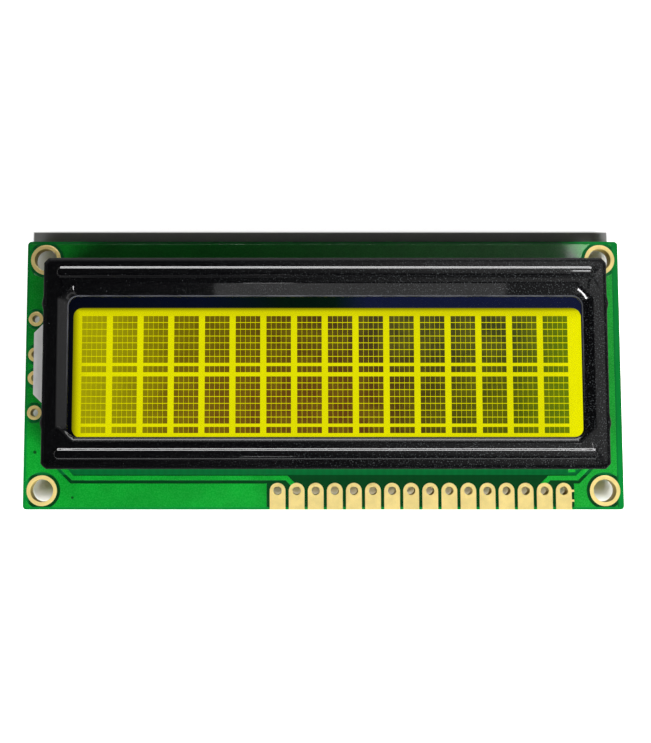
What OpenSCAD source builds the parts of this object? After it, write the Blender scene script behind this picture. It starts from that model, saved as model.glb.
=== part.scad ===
// Two-line character display module: circuit board, stamped bezel, liquid-crystal cell and
// edge-lit backlight. Millimetres. Z points out of the screen and Y from the header edge to the
// far edge. The origin is under the middle of the board, level with the tips of the bezel's tabs.

/* [Board] */
// Width of the circuit board
board_w = 80; // [79:0.5:96]
// Depth of the circuit board
board_d = 36; // [35.5:0.5:44]
// Thickness of the bare board
board_t = 1.6; // [1:0.1:2.4]
// Radius of the board's corners
board_corner_r = 0.5; // [0.2:0.1:1.2]
// Thickness of the copper with its mask or plating
copper_t = 0.07; // [0.05:0.01:0.12]
// Bare margin between the copper and the board's edges
edge_margin = 0.35; // [0.2:0.05:0.45]
// Bare margin between the copper and the right edge
right_margin = 0.85; // [0.4:0.05:1]
// Bare ring or strip round pads and traces
clearance = 0.42; // [0.3:0.02:0.44]

/* [Mounting holes] */
// Radius of a mounting hole inside its plating
mount_r = 1.5; // [1.2:0.05:1.6]
// Outer radius of the plated ring
mount_ring_r = 2.03; // [1.8:0.01:2.1]
// Distance from a mounting hole's centre to both edges of the board
mount_inset = 2.5; // [2.4:0.05:2.6]
// Thickness of the plating on a hole's wall
plating_t = 0.08; // [0.05:0.01:0.1]

/* [Header pads] */
// Number of header pads
pad_count = 16; // [14:1:16]
// Distance between neighbouring header pads
pad_pitch = 2.54; // [2.4:0.01:2.54]
// Width of a header pad
pad_w = 2.1; // [1.7:0.05:2.2]
// Radius of a header hole inside its plating
pad_hole_r = 0.55; // [0.4:0.01:0.6]
// Distance from the last header hole to the board's right edge
header_right = 8; // [7.6:0.1:9]
// Distance from the header holes to the board's front edge
header_inset = 2.5; // [2.2:0.05:2.7]

/* [Side pads] */
// Outer radius of a side pad
side_pad_r = 0.97; // [0.8:0.01:1.05]
// Radius of the hole in a side pad
side_hole_r = 0.5; // [0.35:0.01:0.55]
// Distance from the side pads to the board's left edge
side_pad_inset = 1.3; // [1.25:0.05:1.4]
// Places of the side pads along the board's left edge
side_pad_y = [7.45, 2.65, -0.5, -5.15];

/* [Bezel] */
// Distance from the board's side edges to the bezel
bezel_side = 4; // [3.9:0.05:4.3]
// Distance from the board's long edges to the bezel, were it in the middle of the board
bezel_long = 4.55; // [4.4:0.05:4.8]
// How far the bezel and the display in it sit off the board's middle, away from the header
display_y = 1.15; // [0.9:0.05:1.3]
// Height of the bezel's face over the board
bezel_h = 8.55; // [7.8:0.05:10]
// Thickness of the sheet
sheet_t = 0.4; // [0.3:0.05:0.45]
// Outside radius of the folded edges
bend_r = 0.5; // [0.45:0.05:0.6]
// Length of a cut corner along X
corner_cut_x = 0.6; // [0.5:0.05:0.8]
// Length of a cut corner along Y
corner_cut_y = 1; // [0.8:0.05:1.3]
// Width of the slit where two walls meet at a corner
corner_slit = 0.5; // [0.3:0.05:0.6]
// How far the side walls bulge out at their four dents
dent_out = 0.2; // [0.1:0.05:0.3]
// Length of a dent
dent_l = 2.2; // [1.6:0.1:3]
// Distance of the dents from the middle of the side
dent_y = 7.6; // [7.4:0.1:8.5]

/* [Beads] */
// Distance from the bezel's side walls to the round ends of a stiffening bead
bead_end = 1.6; // [1.5:0.05:6]
// Width of a bead
bead_w = 1.5; // [1.2:0.05:1.55]
// Height of a bead over the face
bead_h = 0.32; // [0.2:0.02:0.36]
// Distance from a bead's centre line to the bezel's outer wall
bead_inset = 1.9; // [1.6:0.05:2]

/* [Window] */
// Distance from the bezel's side walls to the window
window_side = 3.3; // [3:0.05:4.2]
// Distance from the bezel's far wall to the window
window_far_in = 5.05; // [4.8:0.05:5.4]
// Distance from the bezel's near wall to the window
window_near_in = 4.05; // [4:0.05:4.4]
// Radius of the window's corners
window_r = 1.2; // [0.6:0.1:1.6]
// Distance from the bezel's side walls to the sunk surround of the window
surround_side = 1.9; // [1.6:0.05:2.3]
// Distance from the bezel's long walls to the sunk surround
surround_long = 3.3; // [3.2:0.05:3.45]
// Length of the surround's cut corners
bevel_cut = 2; // [1.2:0.1:2.6]
// How far the surround sinks towards the window
bevel_drop = 0.34; // [0.2:0.02:0.45]
// Radius of the window's rolled lip
lip_r = 0.14; // [0.08:0.02:0.2]

/* [Twist tabs] */
// Distance from the bezel's left wall to the first tab
tab_inset = 11; // [6:0.2:12]
// Width of a tab
tab_w = 1.6; // [1.2:0.05:1.7]
// Length of a tab under the board
tab_drop = 1.8; // [1.7:0.1:2.6]
// Angle through which a tab's end is twisted
tab_twist = 38; // [25:1:45]
// Play of a tab in its slot
tab_play = 0.12; // [0.08:0.01:0.15]

/* [Liquid-crystal cell] */
// Thickness of each glass plate
glass_t = 1.1; // [0.7:0.05:1.15]
// Thickness of each polarizer
polarizer_t = 0.2; // [0.15:0.05:0.3]
// Height of the gap between the plates
cell_t = 0.1; // [0.06:0.02:0.16]
// Play between the front glass and the bezel's long walls, twice that at its sides
glass_play = 0.25; // [0.15:0.05:0.35]
// Width of the front glass's ledge over each contact strip
ledge_w = 2; // [1.9:0.1:2.1]
// Width of the seal between the plates
seal_w = 0.8; // [0.5:0.1:0.85]

/* [Characters] */
// Number of characters in a line
columns = 16; // [8:1:16]
// Number of lines
lines = 2; // [1:1:2]
// Distance from the window's sides to the text
text_side = 1.44; // [1:0.02:3]
// Distance from the window's far edge to the text
text_far = 2.3; // [2:0.05:3]
// Distance from the window's near edge to the text
text_near = 0.46; // [0.3:0.02:0.8]
// Gap between neighbouring characters
char_gap = 0.835; // [0.6:0.005:1.2]
// Gap between the lines
line_gap = 0.52; // [0.4:0.02:1]
// Gap between neighbouring dots
dot_gap = 0.075; // [0.05:0.005:0.085]
// Gap over the cursor dots
cursor_gap = 0.41; // [0.3:0.01:0.5]

/* [Contact strips] */
// Width of an elastomer contact strip
zebra_w = 1.5; // [1.2:0.1:1.7]
// Play between a contact strip and the bezel's wall
zebra_play = 0.3; // [0.25:0.05:0.35]
// Distance between the board's contact fingers
finger_pitch = 1.2; // [0.8:0.1:1.6]
// Width of a contact finger
finger_w = 0.6; // [0.3:0.05:0.65]

/* [Backlight] */
// Wall of the backlight's white frame
frame_wall = 0.9; // [0.6:0.1:1]
// Play between the frame and the contact strips
frame_play = 0.15; // [0.1:0.05:0.2]
// Thickness of the white film under the light guide
reflector_t = 0.15; // [0.1:0.05:0.25]
// Thickness of the diffuser sheet
diffuser_t = 0.25; // [0.15:0.05:0.4]
// Thickness of the black rim tape under the cell
tape_t = 0.1; // [0.06:0.02:0.2]
// How far the lit field reaches under the bezel beyond the window's left side
lit_left = 0; // [0:0.05:0.4]
// How far the lit field reaches under the bezel beyond the window's right side
lit_right = 0.75; // [0.4:0.05:0.9]
// Distance from the window's far edge to the lit field
lit_far_in = 1.1; // [0.8:0.05:1.4]
// How far the lit field reaches under the bezel beyond the window's near edge
lit_near = 0.15; // [0.05:0.05:0.25]
// Length of the lug that holds the lamps
lug_l = 10.3; // [9.6:0.1:11]
// How far the lug reaches out of the bezel
lug_out = 2.2; // [1.9:0.05:2.3]
// Height of the lug
lug_h = 3.2; // [2.8:0.1:3.8]
// Distance of the lug from the middle of the bezel's side
lug_y = 0.15; // [0:0.05:0.4]
// Length of the lug's cut corners
lug_cut = 1.1; // [0.6:0.1:1.4]
// Play of the lug in the bezel's wall
lug_play = 0.3; // [0.2:0.05:0.5]
// Number of lamps in the lug
lamp_count = 3; // [1:1:3]
// Distance between the lamps
lamp_pitch = 2.8; // [2.4:0.1:2.9]

/* [Chips on the back] */
// Radius of a potted chip's cap
cap_r = 6.4; // [5:0.1:6.6]
// Height of a potted chip's cap
cap_h = 1.3; // [1.1:0.05:1.5]
// Distance of the two potted chips from the middle of the board
cap_x = 14.5; // [13.6:0.1:15.5]
// Side of the bare chips
die_w = 3.6; // [2.5:0.1:5]
// Thickness of the bare chips
die_t = 0.4; // [0.3:0.05:0.5]
// Places of the resistors, each with its turn
resistor_at = [[-27, 5, 0], [-27, 2.4, 0], [-27, -0.2, 0], [-27, -2.8, 0],
               [29.5, 3, 90], [32.3, 3, 90], [0, 4.6, 0]];
// Places of the capacitors away from the tabs, each with its turn
capacitor_at = [[0, -4.4, 0], [29.5, -3, 90]];
// Distance from the first near tab to the capacitor beside it
tab_capacitor_gap = 3.1; // [2.8:0.1:4]
// Length of a chip part with its end caps
chip_l = 2; // [1.6:0.1:2.2]
// Width of a chip part
chip_w = 1.25; // [0.8:0.05:1.4]
// Height of a resistor
resistor_h = 0.5; // [0.35:0.05:0.6]
// Height of a capacitor
capacitor_h = 0.85; // [0.6:0.05:1]
// Length of an end cap
end_l = 0.35; // [0.2:0.05:0.45]

/* [Traces] */
// Width of a wide trace on the front
front_trace_w = 0.62; // [0.5:0.02:0.7]
// Distance from the board's front edge to the wide traces
front_trace_inset = 4.2; // [4.1:0.02:4.3]
// Distance from the bezel's left wall to the corner of the left trace
left_trace_corner = 2.6; // [2:0.05:3]
// Distance from the last header pad to the corner of the right trace
right_trace_corner = 1.8; // [1.5:0.05:2]
// Width of a trace on the back
back_trace_w = 0.18; // [0.12:0.01:0.2]
// Distance between neighbouring traces on the back
back_trace_pitch = 0.36; // [0.34:0.01:0.37]
// Number of traces between the two potted chips
bus_count = 8; // [4:1:10]
// Number of traces from each potted chip to the far contact row
fan_count = 14; // [6:2:16]
// Distance between the ends of a fan's traces
fan_pitch = 1.8; // [1.6:0.05:1.85]
// Radius of a via's ring
via_r = 0.32; // [0.25:0.01:0.35]

/* [Hidden] */

EPS = 0.01;
ROUND = 48;      // facets of a full circle
ARC = 5;         // steps of a rounded corner in the stamped sheet
BEND = 4;        // steps of a folded edge

// Levels, from the tips of the tabs upwards
z_back = tab_drop;
z_front = z_back + board_t;
z_mask = z_front + copper_t;
z_face = z_mask + bezel_h;
z_sunk = z_face - bevel_drop;
z_front_polarizer = z_sunk - sheet_t - polarizer_t;
z_front_glass = z_front_polarizer - glass_t;
z_cell = z_front_glass - cell_t;
z_rear_glass = z_cell - glass_t;
z_rear_polarizer = z_rear_glass - polarizer_t;
z_tape = z_rear_polarizer - tape_t;
z_guide = z_mask + reflector_t;
z_diffuser = z_tape - diffuser_t;

// Outlines, as half widths and half depths about the middle of the board or, for the display, of the bezel
wall_x = board_w / 2 - bezel_side;
wall_y = board_d / 2 - bezel_long;
window_x = wall_x - window_side;
window_far = wall_y - window_far_in;
window_near = wall_y - window_near_in;
bevel_x = wall_x - surround_side;
bevel_y = wall_y - surround_long;
bead_l = 2 * (wall_x - bead_end);
room_x = wall_x - sheet_t;
room_y = wall_y - sheet_t;
front_glass_x = room_x - 2 * glass_play;
front_glass_y = room_y - glass_play;
rear_glass_y = front_glass_y - ledge_w;
film_x = front_glass_x - 0.3;                // polarizers and seal
front_film_y = front_glass_y - 1.8;
rear_film_y = rear_glass_y - 0.3;
zebra_x = front_glass_x - 1.2;
zebra_y = room_y - zebra_play - zebra_w / 2;
frame_x = front_glass_x;
frame_y = zebra_y - zebra_w / 2 - frame_play;
guide_play = 0.1;
guide_x = frame_x - frame_wall - guide_play;
guide_y = frame_y - frame_wall - guide_play;
lit_middle = (lit_right - lit_left) / 2;
lit_x = window_x + (lit_left + lit_right) / 2;
lit_y0 = -window_near - lit_near;
lit_y1 = window_far - lit_far_in;
near_room = display_y - room_y;              // inner face of the near wall, from the board's middle
fan_y = display_y + zebra_y - zebra_w / 2 - via_r;       // vias beside the far contact row

header_x = board_w / 2 - header_right - (pad_count - 1) * pad_pitch;
header_y = header_inset - board_d / 2;
side_pad_x = side_pad_inset - board_w / 2;
mount_x = board_w / 2 - mount_inset;
mount_y = board_d / 2 - mount_inset;

lug_x = -wall_x - lug_out;
lug_top = z_mask + lug_h;
lug_floor = 0.4;
lamp_board_t = 0.6;
lamp_board_x = lug_x + 0.9;
lamp_board_h = lug_h - 2 * lug_floor - 0.1;
lamp_t = 0.8;
lamp_w = 1.6;
lamp_h = 1.2;
lamp_face_x = lamp_board_x + lamp_board_t + lamp_t;
lamp_row = (lamp_count - 1) * lamp_pitch + lamp_w;      // length of the row of lamps
pocket_y = lamp_row / 2 + 0.5;
lead_r = 0.25;
lead_x = lamp_board_x + lamp_board_t + lead_r;
lead_y = lamp_pitch / 2;
lead_pad_r = 0.9;
joint_h = 0.8;

// Characters fill the window between their margins, and dots fill a character
DOT_COLUMNS = 5;
DOT_ROWS = 7;
char_w = (2 * (window_x - text_side) - (columns - 1) * char_gap) / columns;
char_h = (window_far - text_far + window_near - text_near - (lines - 1) * line_gap) / lines;
dot_w = (char_w - (DOT_COLUMNS - 1) * dot_gap) / DOT_COLUMNS;
dot_h = (char_h - cursor_gap - (DOT_ROWS - 1) * dot_gap) / (DOT_ROWS + 1);
body_h = DOT_ROWS * dot_h + (DOT_ROWS - 1) * dot_gap;      // height of the dots over the cursor

finger_count = floor(2 * (front_glass_x - 2) / finger_pitch);
pad_bridge = 0.32;       // gap from the last header pad to the ground copper
bridge_w = 0.3;
CORNER = 0.5;            // size of the traces' cut corners on the back
BEAD_ROOT = 0.15;        // how far a bead's solid reaches into the sheet
CAP_RIM = 0.25;          // height of a cap's upright rim
CAP_STEPS = 8;           // steps of a cap's curve
TAB_ROOT = 0.4;          // how far a tab's straight part reaches up into the wall
TIP = 0.8;               // length of a tab's straight end

// Front traces, from under the bezel to the second pad from each end
last_pad_x = board_w / 2 - header_right;
trace_y = front_trace_inset - board_d / 2;
dive = near_room - trace_y;
left_trace = [[left_trace_corner - wall_x - dive, near_room], [left_trace_corner - wall_x, trace_y],
              [header_x + pad_pitch - 1.35, trace_y], [header_x + pad_pitch - 0.35, trace_y - 1]];
right_trace = [[last_pad_x - pad_pitch - 0.3, trace_y - 0.95], [last_pad_x - pad_pitch + 0.65, trace_y],
               [last_pad_x + right_trace_corner, trace_y],
               [last_pad_x + right_trace_corner + dive, near_room]];
// Header pads whose traces run on the back: all but the second from each end
back_pads = [for (i = [0 : pad_count - 1]) if (i != 1 && i != pad_count - 2) i];
// Tabs stand between header pads, clear of the traces on the back
tab_at = [tab_inset - wall_x, header_x + 2.5 * pad_pitch, header_x + 11.5 * pad_pitch];
near_tab_y = display_y - wall_y + sheet_t / 2;
capacitors = concat([[tab_at[0], near_tab_y + tab_capacitor_gap, 90]], capacitor_at);

// ---- plain helpers ----

// A rectangle with rounded corners about the origin
module round_rect(w, d, r) {
    translate([-w / 2 + r, -d / 2]) square([w - 2 * r, d]);
    translate([-w / 2, -d / 2 + r]) square([w, d - 2 * r]);
    for (sx = [-1, 1], sy = [-1, 1])
        translate([sx * (w / 2 - r), sy * (d / 2 - r)]) circle(r = r, $fn = ROUND);
}

// A rectangle between x = -hx..hx and y = y0..y1, lifted to z and t thick
module slab(hx, y0, y1, z, t) translate([-hx, y0, z]) cube([2 * hx, y1 - y0, t]);

// Children at the four mounting holes
module at_mounts() for (sx = [-1, 1], sy = [-1, 1]) translate([sx * mount_x, sy * mount_y]) children();

// Children at every header hole
module at_header() for (i = [0 : pad_count - 1]) translate([header_x + i * pad_pitch, header_y]) children();

// Children at every side pad
module at_side_pads() for (y = side_pad_y) translate([side_pad_x, y]) children();

// Children in the display's own frame, whose origin is the middle of the bezel
module in_display() translate([0, display_y]) children();

// Children at both backlight leads, in the display's frame
module at_leads() for (s = [-1, 1]) translate([lead_x, lug_y + s * lead_y]) children();

// Outline of a flat track of width w along the points p, with mitred corners
function unit(v) = v / norm(v);
function left_of(v) = [-v[1], v[0]];
function mitre(p, i) =
    let (a = unit(p[max(i, 1)] - p[max(i, 1) - 1]),
         b = unit(p[min(i, len(p) - 2) + 1] - p[min(i, len(p) - 2)]),
         m = unit(left_of(a) + left_of(b)))
    m / (m * left_of(a));
function track(p, w) = concat(
    [for (i = [0 : len(p) - 1]) p[i] + mitre(p, i) * w / 2],
    [for (i = [len(p) - 1 : -1 : 0]) p[i] - mitre(p, i) * w / 2]);

// ---- board ----

module circuit_board() color("#0a5a2c") difference() {
    translate([0, 0, z_back]) linear_extrude(board_t) round_rect(board_w, board_d, board_corner_r);
    translate([0, 0, z_back - EPS]) {
        at_mounts() drill(mount_r + plating_t);
        at_header() drill(pad_hole_r + plating_t);
        at_side_pads() drill(side_hole_r + plating_t);
        in_display() {
            at_leads() drill(lead_r);
            for (x = tab_at, side = [-1, 1]) tab_slot(x, side);
        }
    }
}

module drill(r) cylinder(h = board_t + 2 * EPS, r = r, $fn = ROUND);

// Slot for a twist tab, on the line of the bezel's long wall
module tab_slot(x, side)
    translate([x - tab_w / 2 - tab_play, side * (wall_y - sheet_t / 2) - sheet_t / 2 - tab_play, 0])
        cube([tab_w + 2 * tab_play, sheet_t + 2 * tab_play, board_t + 2 * EPS]);

// Plating of one hole: a barrel and a pad on both faces, whose outline is given as a child
module plated(hole_r) difference() {
    union() {
        for (z = [z_back - copper_t, z_front]) translate([0, 0, z]) linear_extrude(copper_t) children();
        translate([0, 0, z_back - EPS]) cylinder(h = board_t + 2 * EPS, r = hole_r + plating_t, $fn = ROUND);
    }
    translate([0, 0, z_back - 1]) cylinder(h = board_t + 2, r = hole_r, $fn = ROUND);
}

module header_pad_outline() {
    circle(r = pad_w / 2, $fn = ROUND);
    translate([-pad_w / 2, -header_inset]) square([pad_w, header_inset]);
}

module header_pads() color("#f4e39a") {
    at_header() plated(pad_hole_r) header_pad_outline();
    // Two short bridges from the last pad to the ground copper beside it
    for (dy = [0, -1.3]) translate([last_pad_x + pad_w / 2, header_y + dy - bridge_w / 2, z_front])
        cube([pad_bridge, bridge_w, copper_t]);
}

module mounting_hole_rings() color("#f4e39a")
    at_mounts() plated(mount_r) circle(r = mount_ring_r, $fn = ROUND);

module side_pads() color("#e3cf80")
    at_side_pads() plated(side_hole_r) circle(r = side_pad_r, $fn = ROUND);

// Fingers on the board under both contact strips
module contact_fingers() color("#e3cf80")
    for (side = [-1, 1], i = [0 : finger_count - 1])
        translate([(i - (finger_count - 1) / 2) * finger_pitch - finger_w / 2, side * zebra_y - zebra_w / 2, z_front])
            cube([finger_w, zebra_w, copper_t]);

// Ground copper along the edges, open in the middle from y0 to y1
module ground(y0, y1) difference() {
    translate([-board_w / 2 + edge_margin, -board_d / 2 + edge_margin])
        square([board_w - edge_margin - right_margin, board_d - 2 * edge_margin]);
    translate([-room_x, y0]) square([2 * room_x, y1 - y0]);
    at_mounts() circle(r = mount_ring_r + clearance, $fn = ROUND);
    at_side_pads() circle(r = side_pad_r + clearance, $fn = ROUND);
    in_display() at_leads() circle(r = lead_pad_r + clearance, $fn = ROUND);
}

// Bare area between the bezel and the header, with the strips beside both wide traces
module bare_front() {
    polygon(track(left_trace, front_trace_w + 2 * clearance));
    polygon(track(right_trace, front_trace_w + 2 * clearance));
    translate([left_trace[1][0], trace_y]) square([right_trace[2][0] - left_trace[1][0], dive]);
    translate([header_x - pad_w / 2 - clearance, -board_d / 2])
        square([last_pad_x - header_x + pad_w + clearance + pad_bridge, trace_y + board_d / 2]);
}

module front_copper() color("#14a03c") translate([0, 0, z_front]) linear_extrude(copper_t) {
    difference() {
        ground(near_room, display_y + room_y);
        bare_front();
        in_display() for (x = tab_at, side = [-1, 1]) translate([x, side * (wall_y - sheet_t / 2)])
            square([tab_w + 3 * tab_play, sheet_t + 2.5 * tab_play], center = true);
    }
    difference() {
        union() {
            polygon(track(left_trace, front_trace_w));
            polygon(track(right_trace, front_trace_w));
        }
        at_header() circle(r = pad_w / 2, $fn = ROUND);
    }
    // End of a trace that just shows beyond the bezel
    translate([last_pad_x + 0.65, display_y - wall_y - 0.75]) square([0.95, 1]);
}

// Paths on the back, each with 45 degree corners
HEADER_RISE = 0.65;      // from the bezel's near wall to the first trace of the header
HEADER_TURN = 2.5;       // from the middle of the first cap to that trace's turn
FAN_RISE = 1.2;          // from a fan's vias to the turns of its traces
FAN_START = 1.3;         // spacing of a fan's traces at its cap, in trace pitches
BUS_PITCH = 0.6;         // distance between the traces that join the two caps
function fall(i) = back_trace_pitch * i;
function header_path(i, k) =
    let (x = header_x + i * pad_pitch, y = near_room + HEADER_RISE + fall(k),
         turn = -cap_x - HEADER_TURN + fall(k))
    [[x, header_y + pad_w / 2], [x, y - CORNER], [x - CORNER, y], [turn + CORNER, y], [turn, y + CORNER], [turn, 0]];
function fan_path(cx, k) =
    let (n = k - (fan_count - 1) / 2, s = sign(n), rise = fan_y - FAN_RISE - fall(abs(n) + 0.5),
         x0 = cx + n * back_trace_pitch * FAN_START, x1 = cx + n * fan_pitch)
    [[x0, 0], [x0, rise - CORNER / 2], [x0 + s * CORNER / 2, rise], [x1 - s * CORNER / 2, rise],
     [x1, rise + CORNER / 2], [x1, fan_y]];

module back_copper() color("#128f38") translate([0, 0, z_back - copper_t]) linear_extrude(copper_t) {
    difference() {
        ground(mount_ring_r + clearance - mount_y, mount_y - mount_ring_r - clearance);
        translate([header_x - pad_w / 2 - clearance, -board_d / 2])
            square([last_pad_x - header_x + pad_w + 2 * clearance, board_d / 2]);
        in_display() for (x = tab_at, side = [-1, 1]) translate([x, side * (wall_y - sheet_t / 2)])
            circle(r = tab_w / 2 + clearance, $fn = ROUND);
    }
    difference() {
        union() {
            for (k = [0 : len(back_pads) - 1]) polygon(track(header_path(back_pads[k], k), back_trace_w));
            for (k = [0 : bus_count - 1]) let (y = (k - (bus_count - 1) / 2) * BUS_PITCH)
                polygon(track([[-cap_x, y], [cap_x, y]], back_trace_w));
            for (cx = [-cap_x, cap_x], k = [0 : fan_count - 1]) {
                polygon(track(fan_path(cx, k), back_trace_w));
                translate(fan_path(cx, k)[5]) circle(r = via_r, $fn = 16);
            }
        }
        for (sx = [-1, 1]) translate([sx * cap_x, 0]) circle(r = cap_r + EPS, $fn = ROUND);
        at_header() circle(r = pad_w / 2, $fn = ROUND);
    }
    in_display() at_leads() difference() {
        circle(r = lead_pad_r, $fn = ROUND);
        circle(r = lead_r, $fn = ROUND);
    }
}

// ---- bezel ----

// One corner of a ring, from its right side to its far side; flat = 0 gives an arc and 1 a cut
function corner_point(t, cut, flat) =
    let (arc = [cos(90 * t), sin(90 * t)], line = [1 - t, t], p = arc * (1 - flat) + line * flat)
    [p[0] * cut[0], p[1] * cut[1]];

// Points of a side between its ends y0 and y1, with two dents that bulge out
function side_points(x, y0, y1, out) = [for (c = [-dent_y, dent_y], u = [-1 : 0.25 : 1])
    let (share = (c + u * dent_l / 2) / (wall_y - corner_cut_y) / 2 + 0.5)
    [x + out * (1 + cos(180 * u)) / 2, y0 + share * (y1 - y0)]];

// A closed ring in the sheet: half width, near and far edge, corner cut, corner flatness,
// dents and level
function ring(hx, y0, y1, cut, flat, out, z) =
    let (right = side_points(hx, y0 + cut[1], y1 - cut[1], out), steps = [for (i = [0 : ARC]) i / ARC],
         back_steps = [for (i = [ARC : -1 : 0]) i / ARC])
    [for (p = concat(
        right,
        [for (t = steps) let (q = corner_point(t, cut, flat)) [hx - cut[0] + q[0], y1 - cut[1] + q[1]]],
        [for (t = back_steps) let (q = corner_point(t, cut, flat)) [cut[0] - hx - q[0], y1 - cut[1] + q[1]]],
        [for (i = [len(right) - 1 : -1 : 0]) [-right[i][0], right[i][1]]],
        [for (t = steps) let (q = corner_point(t, cut, flat)) [cut[0] - hx - q[0], y0 + cut[1] - q[1]]],
        [for (t = back_steps) let (q = corner_point(t, cut, flat)) [hx - cut[0] + q[0], y0 + cut[1] - q[1]]]))
     [p[0], p[1], z]];

function wall_ring(inset, z) =
    ring(wall_x - inset, inset - wall_y, wall_y - inset, [corner_cut_x, corner_cut_y], 0.75, dent_out, z);
function bevel_ring(z) =
    ring(bevel_x, -bevel_y, bevel_y, [bevel_cut, bevel_cut], 1, 0, z);
function window_ring(grow, z) =
    ring(window_x + grow, -window_near - grow, window_far + grow,
         [window_r + grow, window_r + grow], 0, 0, z);

// Closed solid whose section runs through the rings in turn and back to the first
module ring_sweep(rings) {
    n = len(rings[0]);
    m = len(rings);
    polyhedron(
        points = [for (r = rings) for (p = r) p],
        faces = [for (i = [0 : m - 1], j = [0 : n - 1], half = [0, 1])
            let (a = i * n + j, b = i * n + (j + 1) % n,
                 c = ((i + 1) % m) * n + (j + 1) % n, d = ((i + 1) % m) * n + j)
            half == 0 ? [a, c, b] : [a, d, c]]);
}

// The folded sheet: up the wall, over the fold, down the surround to the window and back inside
module folded_sheet() ring_sweep(concat(
    [wall_ring(0, z_mask)],
    [for (i = [0 : BEND]) let (a = 90 * i / BEND)
        wall_ring(bend_r * (1 - cos(a)), z_face - bend_r * (1 - sin(a)))],
    [bevel_ring(z_face), window_ring(lip_r, z_sunk), window_ring(lip_r * 0.3, z_sunk - lip_r * 0.3),
     window_ring(0, z_sunk - lip_r), window_ring(0, z_sunk - sheet_t), bevel_ring(z_face - sheet_t),
     wall_ring(bend_r, z_face - sheet_t), wall_ring(sheet_t, z_face - bend_r), wall_ring(sheet_t, z_mask)]));

// Outside of a stiffening bead, a low round ridge with round ends, sunk a little into the face
module bead() {
    r = (bead_w * bead_w / 4 + bead_h * bead_h) / (2 * bead_h);
    translate([0, 0, bead_h - r]) {
        rotate([90, 0, 90]) linear_extrude(bead_l - bead_w, center = true) bead_section(r);
        for (s = [-1, 1]) translate([s * (bead_l - bead_w) / 2, 0, 0])
            rotate_extrude($fn = ROUND) intersection() {
                bead_section(r);
                square(2 * r);
            }
    }
}

module bead_section(r) intersection() {
    circle(r = r, $fn = 96);
    translate([-bead_w, r - bead_h - BEAD_ROOT]) square([2 * bead_w, bead_h + BEAD_ROOT]);
}

// A tab: straight through the board, then twisted, with a straight end
module twist_tab() {
    turn_top = z_back - 0.15;
    translate([-tab_w / 2, -sheet_t / 2, turn_top]) cube([tab_w, sheet_t, z_mask + TAB_ROOT - turn_top]);
    translate([0, 0, TIP]) linear_extrude(turn_top - TIP, twist = -tab_twist, slices = 6)
        rotate(tab_twist) square([tab_w, sheet_t], center = true);
    rotate(tab_twist) translate([-tab_w / 2, -sheet_t / 2, 0]) cube([tab_w, sheet_t, TIP]);
}

module bezel() color("#0b0c0e") {
    difference() {
        union() {
            folded_sheet();
            for (side = [-1, 1]) translate([0, side * (wall_y - bead_inset), z_face]) bead();
        }
        for (side = [-1, 1]) translate([0, side * (wall_y - bead_inset), z_face - sheet_t]) bead();
        // Opening for the lug in the left wall
        translate([-wall_x - 1, lug_y - lug_l / 2 - lug_play, z_mask - 1])
            cube([2 + sheet_t, lug_l + 2 * lug_play, lug_h + lug_play + 1]);
        // Slits where the walls meet
        for (sx = [-1, 1], sy = [-1, 1])
            translate([sx * (wall_x - corner_cut_x / 2), sy * (wall_y - corner_cut_y / 2), z_mask - 1])
                rotate(sx * sy * 45) translate([-1.5, -corner_slit / 2, 0])
                    cube([3, corner_slit, bezel_h - bend_r - 0.6 + 1]);
    }
    for (x = tab_at, side = [-1, 1]) translate([x, side * (wall_y - sheet_t / 2), 0]) twist_tab();
}

// ---- liquid-crystal cell ----

module front_polarizer() color("#2b3030", 0.5)
    slab(film_x, -front_film_y, front_film_y, z_front_polarizer, polarizer_t);
module front_glass() color("#dfe8e4", 0.3)
    slab(front_glass_x, -front_glass_y, front_glass_y, z_front_glass, glass_t);
module rear_glass() color("#dfe8e4", 0.3)
    slab(front_glass_x, -rear_glass_y, rear_glass_y, z_rear_glass, glass_t);
module rear_polarizer() color("#2b3030", 0.5)
    slab(film_x, -rear_film_y, rear_film_y, z_rear_polarizer, polarizer_t);

// Adhesive wall that closes the gap between the two plates
module cell_seal() color("#c9c4b0") difference() {
    slab(film_x, -rear_film_y, rear_film_y, z_cell, cell_t);
    slab(film_x - seal_w, seal_w - rear_film_y, rear_film_y - seal_w, z_cell - 1, 3);
}

// Dots of every character, one bar for each column of dots and a short one for its cursor dot
module liquid_crystal_dots() color("#3a1a10")
    for (c = [0 : columns - 1], l = [0 : lines - 1], k = [0 : DOT_COLUMNS - 1])
        translate([text_side - window_x + c * (char_w + char_gap) + k * (dot_w + dot_gap),
                   text_near - window_near + l * (char_h + line_gap), z_front_glass - cell_t / 2]) {
            cube([dot_w, dot_h, cell_t / 2]);
            translate([0, dot_h + cursor_gap, 0]) cube([dot_w, body_h, cell_t / 2]);
        }

module contact_strip(side) color("#d98a94")
    slab(zebra_x, side * zebra_y - zebra_w / 2, side * zebra_y + zebra_w / 2, z_mask, z_front_glass - z_mask);
module far_contact_strip() contact_strip(1);
module near_contact_strip() contact_strip(-1);

// ---- backlight ----

module rim_tape() color("#101018") difference() {
    slab(frame_x, -frame_y, frame_y, z_tape, tape_t);
    translate([lit_middle, (lit_y0 + lit_y1) / 2, z_tape - 1]) linear_extrude(2)
        round_rect(2 * lit_x, lit_y1 - lit_y0, window_r);
}

module diffuser_sheet() color("#e8e400") slab(guide_x, -guide_y, guide_y, z_diffuser, diffuser_t);
module reflector_film() color("#f4f4f0") slab(guide_x, -guide_y, guide_y, z_mask, reflector_t);

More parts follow.
